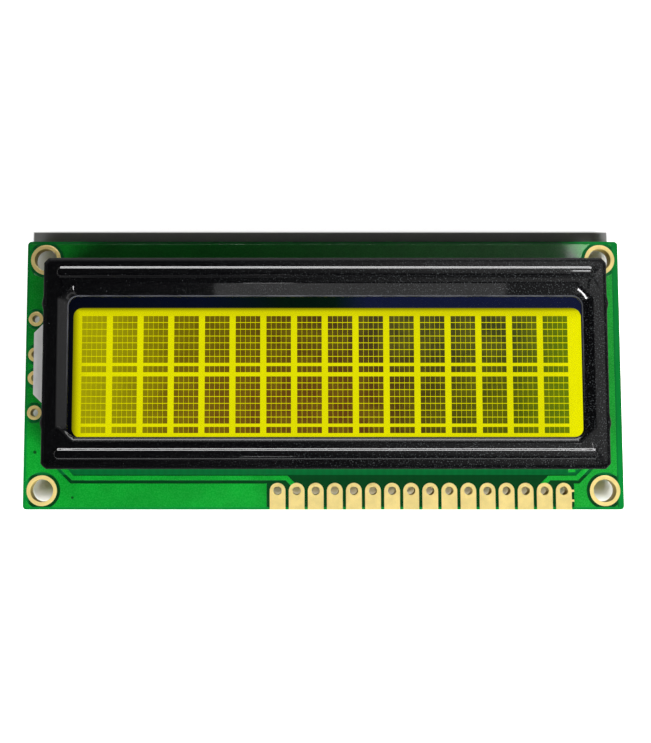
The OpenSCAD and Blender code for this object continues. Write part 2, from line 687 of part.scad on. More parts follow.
// Clear plate with a tongue that reaches towards the lamps
module light_guide() color("#eef2d8", 0.6) {
    slab(guide_x, -guide_y, guide_y, z_guide, z_diffuser - z_guide);
    translate([lamp_face_x + 0.15, lug_y - pocket_y + 0.1, z_mask + lug_floor + 0.1])
        cube([-guide_x + EPS - lamp_face_x - 0.15, 2 * pocket_y - 0.2, lamp_board_h]);
}

// White frame round the light guide, with the hollow lug that holds the lamps
module backlight_frame() color("#e4e4de") difference() {
    union() {
        slab(frame_x, -frame_y, frame_y, z_mask, z_tape - z_mask);
        translate([0, lug_y, z_mask]) linear_extrude(lug_h) polygon([
            [lug_x, lug_cut - lug_l / 2], [lug_x + lug_cut, -lug_l / 2], [EPS - frame_x, -lug_l / 2],
            [EPS - frame_x, lug_l / 2], [lug_x + lug_cut, lug_l / 2], [lug_x, lug_l / 2 - lug_cut]]);
    }
    slab(guide_x + guide_play, -guide_y - guide_play, guide_y + guide_play, z_mask - 1, bezel_h + 2);
    translate([lamp_board_x, lug_y - pocket_y, z_mask + lug_floor])
        cube([-guide_x - lamp_board_x, 2 * pocket_y, lug_h - 2 * lug_floor]);
    at_leads() translate([0, 0, z_mask - 1]) cylinder(h = 2, r = lead_r, $fn = ROUND);
}

module lamp_board() color("#e8e6da")
    translate([lamp_board_x, lug_y - pocket_y, z_mask + lug_floor]) cube([lamp_board_t, 2 * pocket_y, lamp_board_h]);

module lamps() color("#f2e28c") for (i = [0 : lamp_count - 1])
    translate([lamp_board_x + lamp_board_t, lug_y + (i - (lamp_count - 1) / 2) * lamp_pitch - lamp_w / 2,
               z_mask + lug_floor + (lamp_board_h - lamp_h) / 2]) cube([lamp_t, lamp_w, lamp_h]);

// Straight wires from the lamp board through the circuit board
module backlight_leads() color("#cfd2d4") let (bottom = z_back - joint_h - 0.3)
    at_leads() translate([0, 0, bottom])
        cylinder(h = z_mask + lug_floor + 1 - bottom, r = lead_r, $fn = ROUND);

module lead_joints() color("#b9bdc0") at_leads() translate([0, 0, z_back - copper_t - joint_h])
    rotate_extrude($fn = ROUND) polygon([[lead_r, 0], [lead_r + 0.08, 0], [lead_r + 0.14, joint_h * 0.35],
        [lead_r + 0.28, joint_h * 0.7], [lead_pad_r - 0.05, joint_h], [lead_r, joint_h]]);

// ---- back of the board ----

// Potting over a bare chip: a low round cap that hangs under the board
module cap(x) color("#14110f") translate([x, 0, z_back]) difference() {
    rotate_extrude($fn = 72) polygon(concat([[0, 0], [0, -cap_h]],
        [for (i = [1 : CAP_STEPS]) let (a = 90 * i / CAP_STEPS)
            [cap_r * sin(a), -CAP_RIM - (cap_h - CAP_RIM) * cos(a)]],
        [[cap_r, 0]]));
    translate([-die_w / 2, -die_w / 2, -die_t]) cube([die_w, die_w, die_t + 1]);
}
module die(x) color("#5a5f6a") translate([x - die_w / 2, -die_w / 2, z_back - die_t]) cube([die_w, die_w, die_t]);
module controller_cap() cap(-cap_x);
module driver_cap() cap(cap_x);
module controller_chip() die(-cap_x);
module driver_chip() die(cap_x);

// Children at each chip part, turned as it is
module at_parts(places) for (p = places) translate([p[0], p[1], z_back]) rotate(p[2]) children();

module chip_body(h) translate([end_l - chip_l / 2, -chip_w / 2, -h]) cube([chip_l - 2 * end_l, chip_w, h]);
module chip_ends(h) for (s = [0, 1]) mirror([s, 0, 0])
    translate([chip_l / 2 - end_l, -chip_w / 2, -h]) cube([end_l, chip_w, h]);

module chip_resistors() color("#17191c") at_parts(resistor_at) chip_body(resistor_h);
module chip_capacitors() color("#b79a78") at_parts(capacitors) chip_body(capacitor_h);
module chip_end_caps() color("#c8cbcd") {
    at_parts(resistor_at) chip_ends(resistor_h);
    at_parts(capacitors) chip_ends(capacitor_h);
}

circuit_board();
front_copper();
back_copper();
header_pads();
mounting_hole_rings();
side_pads();
in_display() contact_fingers();
in_display() bezel();
in_display() front_polarizer();
in_display() front_glass();
in_display() cell_seal();
in_display() liquid_crystal_dots();
in_display() rear_glass();
in_display() rear_polarizer();
in_display() rim_tape();
in_display() far_contact_strip();
in_display() near_contact_strip();
in_display() diffuser_sheet();
in_display() light_guide();
in_display() reflector_film();
in_display() backlight_frame();
in_display() lamp_board();
in_display() lamps();
in_display() backlight_leads();
in_display() lead_joints();
controller_cap();
driver_cap();
controller_chip();
driver_chip();
chip_resistors();
chip_capacitors();
chip_end_caps();
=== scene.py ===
"""Dresses a two-line character display module: stamped bezel, lit cell, plated board and a plain studio."""

import math

import bmesh
import bpy
from bpy.props import FloatProperty, FloatVectorProperty, IntProperty, PointerProperty
from mathutils import Matrix, Vector, noise


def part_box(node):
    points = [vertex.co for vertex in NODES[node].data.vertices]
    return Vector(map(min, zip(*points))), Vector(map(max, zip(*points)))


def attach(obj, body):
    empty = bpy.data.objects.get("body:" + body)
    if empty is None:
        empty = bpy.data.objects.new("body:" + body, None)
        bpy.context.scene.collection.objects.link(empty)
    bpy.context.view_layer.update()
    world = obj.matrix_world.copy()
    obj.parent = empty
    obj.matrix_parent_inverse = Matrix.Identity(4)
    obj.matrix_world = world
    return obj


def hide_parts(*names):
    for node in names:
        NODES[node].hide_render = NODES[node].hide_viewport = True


bl_info = {
    "name": "Character Display Module",
    "version": (1, 0, 0),
    "blender": (4, 5, 0),
    "location": "3D View > Sidebar > Display",
    "description": "Dresses the solids of a two-line character display module",
    "category": "Object",
}

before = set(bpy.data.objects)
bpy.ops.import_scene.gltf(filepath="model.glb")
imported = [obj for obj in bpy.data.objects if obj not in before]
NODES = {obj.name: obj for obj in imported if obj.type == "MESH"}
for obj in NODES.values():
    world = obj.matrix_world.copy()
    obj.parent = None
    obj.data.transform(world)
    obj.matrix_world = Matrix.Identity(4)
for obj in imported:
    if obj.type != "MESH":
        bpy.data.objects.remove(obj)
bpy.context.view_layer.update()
MM = 0.001
MICRON = 1e-6
SHARP_EDGE = math.radians(50)

# Shapes of a loop's corners, where 0.5 is round
CUT_CORNER = 0.25
TIGHT_CORNER = 0.3

# Levels and outlines that the solids give
BOARD_LOW, BOARD_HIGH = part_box("circuit_board")
GLASS_LOW, GLASS_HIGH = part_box("front_glass")
DOTS_LOW, DOTS_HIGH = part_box("liquid_crystal_dots")
DISPLAY_Y = (GLASS_LOW.y + GLASS_HIGH.y) / 2
MASK_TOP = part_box("front_copper")[1].z
BEAD_HEIGHT = 0.32 * MM
FACE_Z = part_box("bezel")[1].z - BEAD_HEIGHT

# How far below the face the straight walls end, where the tabs stand along X,
# and how a bead rises: shares of its half width, from the foot inwards, and of its height
WALL_END = 1.1 * MM
TAB_PLACES = (-25 * MM, 0.25 * MM, 23.11 * MM)
BEAD_PROFILE = (
    (0, 0), (0.05, 0.04), (0.12, 0.2), (0.22, 0.5), (0.32, 0.78),
    (0.42, 0.92), (0.56, 0.98), (0.76, 0.995), (0.95, 1),
)


def length(name, text, value, low=0.0):
    """A size in metres that the user may change."""
    return FloatProperty(name=name, description=text, default=value, min=low, unit="LENGTH", precision=5)


def tint(name, text, value):
    """A linear colour that the user may change."""
    return FloatVectorProperty(
        name=name, description=text, default=value, size=3, subtype="COLOR", min=0, max=1,
    )


class BezelSizes(bpy.types.PropertyGroup):
    """Sizes of the stamped bezel, from its own middle."""

    wall_x: length("Half width", "From the middle to the outside of a side wall", 36 * MM)
    wall_y: length("Half depth", "From the middle to the outside of a long wall", 13.45 * MM)
    sheet: length("Sheet", "Thickness of the steel sheet", 0.4 * MM)
    fold: length("Fold", "Outside radius of the folded edges", 0.5 * MM)
    corner: length("Corner", "Size of the outer corners", 0.7 * MM)
    bead_length: length("Bead length", "Length of a bead with its round ends", 68.8 * MM)
    bead_width: length("Bead width", "Width of a bead at its foot", 1.5 * MM)
    bead_height: length("Bead height", "Height of a bead over the face", BEAD_HEIGHT)
    bead_inset: length("Bead inset", "From the outer wall to a bead's centre line", 1.9 * MM)
    window_x: length("Window half width", "Half the width of the window", 32.7 * MM)
    window_far: length("Window far edge", "From the middle to the window's far edge", 8.4 * MM)
    window_near: length("Window near edge", "From the middle to the window's near edge", 9.4 * MM)
    window_corner: length("Window corner", "Radius of the window's corners", 1.2 * MM)
    surround_x: length("Surround half width", "Half the width of the sunk surround", 34.1 * MM)
    surround_y: length("Surround half depth", "Half the depth of the sunk surround", 10.15 * MM)
    surround_cut: length("Surround cut", "Length of the surround's cut corners", 2 * MM)
    surround_drop: length("Surround drop", "How far the surround sinks to the window", 0.34 * MM)
    lip: length("Rolled lip", "Radius of the lip that is rolled round the window", 0.13 * MM)
    dent_out: length("Dent", "How far a dent bulges out of a side wall", 0.2 * MM)
    dent_length: length("Dent length", "Length of a dent", 2.2 * MM)
    dent_y: length("Dent place", "From the middle of the side to a dent", 7.6 * MM)
    lug_y: length("Lug place", "From the middle of the side to the lug's middle", 0.15 * MM)
    lug_length: length("Lug length", "Length of the backlight's lug", 10.3 * MM)
    lug_height: length("Lug height", "Height of the lug over the board", 3.2 * MM)
    lug_room: length("Lug room", "Gap round the lug in the side wall", 0.3 * MM)
    tab_width: length("Tab width", "Width of a twist tab", 1.6 * MM)
    tab_turn: FloatProperty(
        name="Tab turn", description="How far a twist tab is turned under the board",
        default=math.radians(38), subtype="ANGLE",
    )
    paint: tint("Paint", "Colour of the black paint", (0.0012, 0.0012, 0.0016))


class ScreenSizes(bpy.types.PropertyGroup):
    """Sizes and colours of the lit cell."""

    columns: IntProperty(name="Characters", description="Characters in a line", default=16, min=1, max=40)
    lines: IntProperty(name="Lines", description="Number of lines", default=2, min=1, max=4)
    dot_columns: IntProperty(name="Dot columns", description="Dots across a character", default=5, min=1)
    dot_rows: IntProperty(name="Dot rows", description="Dots over the cursor's row", default=7, min=1)
    char_pitch: length("Character pitch", "From one character to the next", 3.96 * MM)
    line_pitch: length("Line pitch", "From one line to the next", 7.78 * MM)
    dot_step_x: length("Dot step across", "From one dot to the next across", 0.64 * MM)
    dot_step_y: length("Dot step up", "From one dot to the next upwards", 0.875 * MM)
    dot_width: length("Dot width", "Width of one dot", 0.598 * MM)
    dot_height: length("Dot height", "Height of one dot", 0.79 * MM)
    cursor_step: length("Cursor step", "From the cursor dot to the lowest dot over it", 1.21 * MM)
    glow: tint("Glow", "Colour of the lit diffuser", (0.86, 0.82, 0.0))
    glow_edge: tint("Glow at the rim", "Colour of the lit diffuser along its rim", (0.45, 0.42, 0.0))


class BoardSizes(bpy.types.PropertyGroup):
    """Sizes and colours of the board and its plating."""

    edge: length("Copper edge", "Rounding of the copper's edges under the mask", 0.06 * MM)
    mask: tint("Mask over copper", "Colour of the mask over copper", (0.004, 0.30, 0.024))
    bare: tint("Mask over laminate", "Colour of the mask over bare laminate", (0.0008, 0.115, 0.024))
    laminate: tint("Laminate", "Colour of the sawn edges", (0.2, 0.22, 0.07))
    gold: tint("Gold", "Colour of the plating", (0.92, 0.73, 0.27))


class StageSizes(bpy.types.PropertyGroup):
    """Camera and lights."""

    camera_x: length("Camera X", "Sideways place of the camera", -5.5 * MM, -1.0)
    camera_y: length("Camera Y", "Place of the camera along Y", -6.2 * MM, -1.0)
    camera_z: length("Camera height", "Height of the camera over the board", 150 * MM)
    tilt: FloatProperty(
        name="Tilt", description="Tilt of the camera from straight down",
        default=math.radians(5), subtype="ANGLE",
    )
    view_width: length("View width", "Width of the view at the board", 87.5 * MM)


# Name, place, size, power and kind of each lamp; those at this height or over it hang level
LEVEL_LAMPS = 0.6
LAMPS = (
    ("key_panel", (0.26, -0.40, 0.42), (0.3, 0.3), 5.6, "diffuse"),
    ("side_fill", (-0.40, -0.35, 0.45), (0.4, 0.4), 2.1, "diffuse"),
    ("far_strip", (0.12, 0.76, 0.27), (1.1, 0.32), 25.0, "glossy"),
    ("top_spark", (-0.015, -0.126, 0.62), (0.034, 0.026), 0.08, "glossy"),
    ("top_panel", (0.062, -0.213, 0.8), (0.25, 0.036), 0.021, "glossy"),
    ("corner_glare", (0.262, 0.140, 0.8), (0.046, 0.034), 0.06, "glossy"),
)

# The view's height over its width, and the depth of the painted shadow beyond the board's far edge
VIEW_TALLNESS = 1.14132
FAR_SHADOW = 1.87 * MM


# ---- mesh helpers ----


def finish_mesh(name, bm, finish, angle=35, middle=0.0):
    """Turns a bmesh, made about a middle along Y, into a piece that rides with the module."""
    bmesh.ops.translate(bm, verts=bm.verts, vec=(0, middle, 0))
    mesh = bpy.data.meshes.new(name)
    bm.to_mesh(mesh)
    bm.free()
    for face in mesh.polygons:
        face.use_smooth = True
    mesh.set_sharp_from_angle(angle=math.radians(angle))
    piece = bpy.data.objects.new(name, mesh)
    bpy.context.scene.collection.objects.link(piece)
    mesh.materials.append(finish)
    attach(piece, "root")
    return piece


def loop(bm, x, near, far, z, cut, profile=0.5, steps=6):
    """A closed loop of edges: half width, near and far edges, level and shaped corners."""
    before = set(bm.edges)
    corners = bmesh.ops.create_grid(bm, x_segments=1, y_segments=1, size=0.5)["verts"]
    place = Matrix.Translation((0, (near + far) / 2, z)) @ Matrix.Diagonal((2 * x, far - near, 1, 1))
    bmesh.ops.transform(bm, matrix=place, verts=corners)
    bmesh.ops.bevel(
        bm, geom=corners, affect="VERTICES", offset=cut, offset_type="OFFSET",
        segments=steps, profile=profile, material=-1,
    )
    edges = [e for e in bm.edges if e not in before]
    faces = list({f for e in edges for f in e.link_faces})
    bmesh.ops.delete(bm, geom=faces, context="FACES_ONLY")
    return edges


def bridge(bm, loops):
    """Faces between each loop and the next."""
    for a, b in zip(loops, loops[1:]):
        bmesh.ops.bridge_loops(bm, edges=a + b)


def quarter_turn(steps):
    """Angles from 0 to a quarter turn."""
    return [math.pi / 2 * i / steps for i in range(steps + 1)]


def split_at(bm, faces, place, way):
    """Splits faces along a plane."""
    faces = list(faces)
    edges = dict.fromkeys(e for f in faces for e in f.edges)
    verts = dict.fromkeys(v for f in faces for v in f.verts)
    bmesh.ops.bisect_plane(bm, geom=[*verts, *edges, *faces], plane_co=place, plane_no=way, dist=MICRON)


def face_up(bm, sample):
    """Makes all the faces point the way that the sample face should, upwards."""
    bmesh.ops.recalc_face_normals(bm, faces=bm.faces)
    if sample.normal.z < 0:
        bmesh.ops.reverse_faces(bm, faces=bm.faces)


def softened(node, name, finish, width, segments=2, smooth=35):
    """A copy of a solid with its sharp edges rounded, which is shown in its place."""
    bm = bmesh.new()
    bm.from_mesh(NODES[node].data)
    bmesh.ops.remove_doubles(bm, verts=bm.verts, dist=2 * MICRON)
    bmesh.ops.dissolve_limit(bm, angle_limit=math.radians(1), verts=bm.verts, edges=bm.edges)
    sharp = [e for e in bm.edges if len(e.link_faces) == 2 and e.calc_face_angle(0) > SHARP_EDGE]
    bmesh.ops.bevel(
        bm, geom=sharp, affect="EDGES", offset=width, offset_type="OFFSET", segments=segments,
        profile=0.5, clamp_overlap=True, material=-1,
    )
    piece = finish_mesh(name, bm, finish, smooth)
    even_normals(piece)
    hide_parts(node)
    return piece


def even_normals(piece):
    """Keeps large flat faces flat beside their rounded edges."""
    piece.modifiers.new("even", "WEIGHTED_NORMAL").keep_sharp = True


def dress(node, finish):
    """Gives a solid that is shown as it is a better material."""
    NODES[node].data.materials.clear()
    NODES[node].data.materials.append(finish)


# ---- shader helpers ----


class Wire:
    """A socket in a node tree, with arithmetic that adds Math nodes."""

    def __init__(self, tree, socket):
        self.tree = tree
        self.socket = socket

    def maths(self, operation, *values):
        """Adds a Math node. Values go to its sockets in order."""
        return self.tree.add("ShaderNodeMath", {"operation": operation}, dict(enumerate(values)))

    def __add__(self, other):
        return self.maths("ADD", self, other)

    def __sub__(self, other):
        return self.maths("SUBTRACT", self, other)

    def __rsub__(self, other):
        return self.maths("SUBTRACT", other, self)

    def __mul__(self, other):
        return self.maths("MULTIPLY", self, other)

    def __truediv__(self, other):
        return self.maths("DIVIDE", self, other)

    __radd__ = __add__
    __rmul__ = __mul__

    def least(self, other):
        return self.maths("MINIMUM", self, other)

    def most(self, other):
        return self.maths("MAXIMUM", self, other)

    def size(self):
        return self.maths("ABSOLUTE", self)

    def root(self):
        return self.maths("SQRT", self)

    def step(self, low, high, out_low=0.0, out_high=1.0):
        """Rises smoothly from out_low at low to out_high at high."""
        values = {"Value": self, "From Min": low, "From Max": high, "To Min": out_low, "To Max": out_high}
        return self.tree.add("ShaderNodeMapRange", {"interpolation_type": "SMOOTHSTEP"}, values)


class Tree:
    """A node tree that starts empty and ends in one output node."""

    def __init__(self, owner, output):
        owner.use_nodes = True
        self.nodes = owner.node_tree.nodes
        self.links = owner.node_tree.links
        self.nodes.clear()
        self.out = self.nodes.new(output)

    def surface(self, shader):
        """Sends a shader to the output."""
        self.feed(self.out.inputs["Surface"], shader)

    def feed(self, socket, value):
        """Links a wire to a socket, or sets its value."""
        if isinstance(value, Wire):
            self.links.new(value.socket, socket)
        elif hasattr(socket.default_value, "__len__"):
            value = tuple(value)
            short = len(socket.default_value) - len(value)
            socket.default_value = value + (1.0,) * short
        else:
            socket.default_value = value

    def add(self, kind, settings=None, values=None, output=0):
        """Any node: its settings first, then its sockets. Returns the wire of one output."""
        node = self.nodes.new(kind)
        for key, value in (settings or {}).items():
            if key == "stops":
                self.set_stops(node.color_ramp, value)
            else:
                setattr(node, key, value)
        for key, value in (values or {}).items():
            self.feed(node.inputs[key], value)
        return Wire(self, node.outputs[output])

    @staticmethod
    def set_stops(ramp, stops):
        """Gives a colour ramp its places and colours."""
        while len(ramp.elements) < len(stops):
            ramp.elements.new(1.0)
        for element, (place, colour) in zip(ramp.elements, stops):
            element.position = place
            element.color = (*colour, 1.0)

    def axis(self, name, where):
        """One coordinate of a place or direction."""
        return self.add("ShaderNodeSeparateXYZ", None, {0: where}, output=name)


class Finish(Tree):
    """A material around one Principled shader. Its places count from a middle along Y."""

    def __init__(self, name, middle=0.0, **values):
        self.material = bpy.data.materials.new(name)
        super().__init__(self.material, "ShaderNodeOutputMaterial")
        self.shader = self.nodes.new("ShaderNodeBsdfPrincipled")
        self.shaded = Wire(self, self.shader.outputs[0])
        self.surface(self.shaded)
        self.where = self.add("ShaderNodeTexCoord", output="Object")
        if middle:
            shift = {0: self.where, 1: (0, middle, 0)}
            self.where = self.add("ShaderNodeVectorMath", {"operation": "SUBTRACT"}, shift)
        for socket, value in values.items():
            self.put(socket.replace("_", " "), value)

    def put(self, socket, value):
        """Sets or links a socket of the Principled shader."""
        self.feed(self.shader.inputs[socket], value)

    def places(self):
        """The three coordinates of a place on the piece."""
        return [self.axis(name, self.where) for name in "XYZ"]

    def ramp(self, factor, stops):
        """A colour that follows a factor from 0 to 1 through the stops."""
        return self.add("ShaderNodeValToRGB", {"stops": stops}, {0: factor})

    def beyond(self, half, near, far, corner):
        """How far a place lies outside a box with round corners, seen from above; negative inside."""
        x, y, _ = self.places()
        sides = x.size() - (half - corner)
        ends = (y - (near + far) / 2).size() - ((far - near) / 2 - corner)
        outside = sides.most(0) * sides.most(0) + ends.most(0) * ends.most(0)
        return outside.root() + sides.most(ends).least(0) - corner

    def spot(self, at, radius):
        """1 in a round spot, seen from above."""
        x, y, _ = self.places()
        across, along = x - at[0], y - at[1]
        return (across * across + along * along).root().step(radius, radius * 0.6)

    def facing(self, name="Z"):
        """One part of the surface's direction, on the piece itself."""
        return self.axis(name, self.add("ShaderNodeTexCoord", output="Normal"))

    def grain(self, size, detail=2.0, roughness=0.5, stretch=(1, 1, 1)):
        """Noise from 0 to 1 whose features are about the given size in metres."""
        place = self.add("ShaderNodeMapping", None, {"Vector": self.where, "Scale": stretch})
        values = {"Vector": place, "Scale": 1 / size, "Detail": detail, "Roughness": roughness}
        return self.add("ShaderNodeTexNoise", {"noise_type": "FBM"}, values)

    def specks(self, size, share):
        """Small round specks, one in each cell of the given size, of about the share of its width."""
        values = {"Vector": self.where, "Scale": 1 / size}
        return self.add("ShaderNodeTexVoronoi", None, values).step(share, share * 0.4)

    def waves(self, way, size, **values):
        """Stripes along one axis, about a third of the given size apart."""
        settings = {"bands_direction": way, "wave_profile": "SIN"}
        values = {"Vector": self.where, "Scale": 1 / size, **values}
        return self.add("ShaderNodeTexWave", settings, values, output="Fac")

    def mix(self, factor, a, b):
        """Colours a and b mixed by a factor from 0 to 1."""
        node = self.nodes.new("ShaderNodeMix")
        node.data_type = "RGBA"
        for socket, value in zip((node.inputs[0], node.inputs[6], node.inputs[7]), (factor, a, b)):
            self.feed(socket, value)
        return Wire(self, node.outputs[2])

    def bump(self, height, distance):
        """Sends a height from 0 to 1 to the surface's direction, over the given distance."""
        values = {"Height": height, "Distance": distance, "Strength": 1.0}
        self.put("Normal", self.add("ShaderNodeBump", None, values))


def shade(colour, by):
    """A colour made lighter or darker."""
    return tuple(min(1.0, c * by) for c in colour)


def plain_finish(name, colour, rough, size, depth, spread=0.12, metal=0.0):
    """A finish whose colour, gloss and surface all vary with one fine grain and a broad one."""
    f = Finish(name, Metallic=metal)
    fine = f.grain(size)
    broad = f.grain(size * 14, detail=1)
    tone = (fine * 0.5 + broad * 0.5).step(0.25, 0.75)
    f.put("Base Color", f.mix(tone, shade(colour, 1 - spread), shade(colour, 1 + spread)))
    f.put("Roughness", tone.step(0, 1, rough * 0.85, rough * 1.15))
    f.bump(fine, depth)
    return f.material


# ---- finishes ----


def paint_finish(s):
    """Black gloss paint on steel: dull where it is worn, a little dusty, with painted sheen growing to the
    right and a painted highlight on the window's far lip.
    """
    f = Finish("bezel_paint", DISPLAY_Y, Coat_Roughness=0.035, Specular_IOR_Level=0.06)
    x, y, z = f.places()
    toward = y * -1
    peel = f.grain(0.42 * MM, detail=1)
    fine = f.grain(0.2 * MM, detail=3)
    # dust, and a light powder speckle that grows to the right: painted sheen standing in for the reflection
    # of the light at the right
    dust = f.specks(0.75 * MM, 0.1) * f.grain(5 * MM).step(0.4, 0.6)
    base = f.mix(dust * 0.8, s.paint, (0.09, 0.095, 0.10))
    powder_and_sheen = f.grain(0.17 * MM, detail=1, roughness=0.7).step(0.56, 0.74)
    powder_and_sheen = powder_and_sheen * x.step(-34 * MM, 30 * MM, 0.12, 0.9)
    base = f.mix(powder_and_sheen, base, (0.055, 0.06, 0.062))
    # painted highlight on the rolled lip: lighter grey, patchy and mostly at the far side, where the lip
    # catches the light
    beyond = f.beyond(s.window_x, -s.window_near, s.window_far, s.window_corner)
    lip = beyond.step(0.02 * MM, 0.08 * MM) * beyond.step(0.26 * MM, 0.16 * MM)
    lip = lip * f.grain(3 * MM, detail=1).step(0.3, 0.7, 0.5, 1.0) * y.step(-8 * MM, 6 * MM)
    base = f.mix(lip * 0.8, base, (0.10, 0.105, 0.12))
    # dull walls below the fold
    inset = s.fold + 0.02 * MM
    wall = f.beyond(s.wall_x - inset, inset - s.wall_y, s.wall_y - inset, 0.5 * MM)
    wall = wall.step(-0.05 * MM, 0.02 * MM)
    low = z.step(FACE_Z - 0.3 * MM, FACE_Z - 0.6 * MM)
    f.put("Base Color", f.mix(wall * low, base, (0.022, 0.020, 0.022)))
    f.put("Roughness", fine.step(0.3, 0.7, 0.2, 0.3) + wall * 0.35)
    # the gloss is gone from the slope and lip near the window, and from the near shoulders
    slope = toward.step(s.window_near - 1.6 * MM, s.window_near - 0.7 * MM)
    slope = slope * z.step(FACE_Z - MICRON, FACE_Z - 12 * MICRON)
    near_lip = toward.step(s.window_near - 0.4 * MM, s.window_near - 0.1 * MM) * (1 - wall)
    near_lip = near_lip * z.step(FACE_Z - 0.2 * MM, FACE_Z - 0.28 * MM)
    lean = f.facing("Y")
    bead = z.step(FACE_Z + 4 * MICRON, FACE_Z + 20 * MICRON) * lean.step(-0.32, -0.26)
    shoulder = lean.step(-0.02, -0.05) * bead.most(lean.step(-0.183, -0.172))
    shoulder = shoulder * f.facing("X").size().step(0.1, 0.05)
    f.put("Coat Weight", 1 - wall.most(slope * 0.85).most(shoulder * 0.85).most(near_lip))
    f.bump(peel * 0.5 + fine * 0.5, 4 * MICRON)
    return f.material


def mask_finish(colour):
    """Green solder mask over copper: glossy, a little uneven, with the copper's grain below."""
    f = Finish("masked_copper", Coat_Weight=0.36, Coat_Roughness=0.05, Specular_IOR_Level=0.12)
    fine = f.grain(0.16 * MM, detail=3)
    broad = f.grain(5 * MM, detail=2)
    tone = (fine * 0.45 + broad * 0.55).step(0.3, 0.7)
    base = f.mix(tone, shade(colour, 0.82), shade(colour, 1.18))
    # painted highlight: the sloped edges of the copper are lighter green, as if catching the light
    slope = f.facing().size().step(0.95, 0.6)
    base = f.mix(slope, base, (0.045, 0.46, 0.09))
    pits = f.specks(2.2 * MM, 0.04)
    base = f.mix(pits * 0.6, base, (0.05, 0.42, 0.08))
    spots = f.spot((-38.5 * MM, -10.4 * MM), 0.28 * MM).most(f.spot((-33.4 * MM, -16.4 * MM), 0.22 * MM))
    f.put("Base Color", f.mix(spots * 0.85, base, (0.002, 0.02, 0.006)))
    f.put("Roughness", fine.step(0.3, 0.7, 0.2, 0.34))
    streaks = f.grain(0.6 * MM, detail=3, stretch=(1, 0.3, 1))
    f.bump(fine * 0.2 + streaks * 0.8, 22 * MICRON)
    return f.material


def board_finish(colour, laminate):
    """Solder mask on bare laminate, with the glass weave below it, paler along the rim, darkened by painted
    shade round the header, and sawn edges.
    """
    f = Finish("board", Specular_IOR_Level=0.12)
    x, y, _ = f.places()
    across, along = (f.waves(way, 3.2 * MM, Distortion=1.2, Detail=1.0) for way in "XY")
    weave = across * 0.5 + along * 0.5
    base = f.mix(weave, shade(colour, 0.88), shade(colour, 1.12))
    rim = x.size().step(BOARD_HIGH.x - 1.0 * MM, BOARD_HIGH.x - 0.5 * MM)
    rim = rim.most(y.size().step(BOARD_HIGH.y - 0.45 * MM, BOARD_HIGH.y - 0.3 * MM))
    base = f.mix(rim, base, (0.001, 0.21, 0.03))
    # painted shade: the bare laminate round the header is darkened, as the narrow clearances there lie in
    # shade
    header_shade = (y * -1).step(13.35 * MM, 13.45 * MM) * (1 - rim)
    base = f.mix(header_shade * 0.85, base, (0.0004, 0.028, 0.005))
    fibres = f.grain(0.25 * MM, detail=3, stretch=(0.12, 0.12, 6))
    side = f.facing().size().step(0.7, 0.4)
    cut = f.mix(fibres.step(0.35, 0.65), shade(laminate, 0.65), shade(laminate, 1.35))
    f.put("Base Color", f.mix(side, base, cut))
    f.put("Roughness", side.step(0, 1, 0.3, 0.75))
    f.bump(weave * 0.3 + fibres * side, 4 * MICRON)
    return f.material


def gold_finish(colour):
    """Plated gold, satin on the pads, with painted shade darkening the steep faces such as the walls of the
    barrels.
    """
    f = Finish("gold_plating", Metallic=0.3)
    fine = f.grain(0.09 * MM, detail=3)
    broad = f.grain(1.4 * MM, detail=2)
    tone = (fine * 0.4 + broad * 0.6).step(0.3, 0.7)
    base = f.mix(tone, shade(colour, 0.9), shade(colour, 1.06))
    # painted shade: steep faces, such as the walls of the barrels, are darkened
    down = f.facing().size().step(0.8, 0.3)
    f.put("Base Color", f.mix(down * 0.8, base, (0.30, 0.22, 0.05)))
    f.put("Roughness", fine.step(0.3, 0.7, 0.34, 0.5))
    f.bump(fine, 3 * MICRON)
    return f.material


def lit_finish(name, colour):
    """A dull finish that gives light of its own."""
    return Finish(
        name, DISPLAY_Y, Base_Color=colour, Roughness=0.9, Specular_IOR_Level=0.0, Emission_Strength=1.0,
    )


def glow_finish(colour, rim):
    """The lit diffuser: bright in the middle and at the right, and shaded along its far and left rims."""
    f = lit_finish("lit_diffuser", (0.06, 0.06, 0.0))
    x, y, _ = f.places()
    deep = y.step(6.7 * MM, 7.4 * MM).most((x * -1).step(31.7 * MM, 32.9 * MM))
    soft = y.step(5.35 * MM, 7.25 * MM).most((x * -1).step(30 * MM, 32.6 * MM))
    soft = soft.most((y * -1).step(9.1 * MM, 9.7 * MM))
    haze = f.grain(9 * MM, detail=2).step(0.3, 0.7)
    lit = f.mix(haze, shade(colour, 0.95), colour)
    lit = f.mix(x.step(29 * MM, 33 * MM) * 0.6, lit, (1.0, 0.97, 0.0))
    lit = f.mix(soft * 0.35, lit, rim)
    f.put("Emission Color", f.mix(deep * 0.85, lit, shade(rim, 0.2)))
    return f.material


def dot_finish(glow):
    """Dark dots whose tint and strength shift across the cell, as a twisted crystal's do."""
    f = lit_finish("dots", (0.003, 0.002, 0.001))
    x, y, _ = f.places()
    along = x / (66 * MM) + 0.5
    high = y.step(-6 * MM, 5 * MM)
    stops = [(0.0, (0.36, 0.33, 0.002)), (0.07, (0.33, 0.30, 0.002)), (0.2, (0.17, 0.13, 0.002)),
             (0.38, (0.105, 0.062, 0.004)), (0.55, (0.075, 0.034, 0.006)), (0.72, (0.062, 0.048, 0.006)),
             (0.86, (0.075, 0.09, 0.003)), (1.0, (0.13, 0.215, 0.003))]
    tone = f.ramp(along, stops)
    cool = high * along.step(0.42, 0.68) * along.step(0.98, 0.84)
    tone = f.mix(cool * 0.7, tone, (0.04, 0.043, 0.016))
    warm = (1 - high) * along.step(0.08, 0.3) * along.step(0.72, 0.5)
    tone = f.mix(warm * 0.6, tone, (0.155, 0.055, 0.008))
    worn = f.grain(2.2 * MM, detail=2).step(0.3, 0.7, 0.0, 0.06)
    f.put("Emission Color", f.mix(worn, tone, glow))
    return f.material


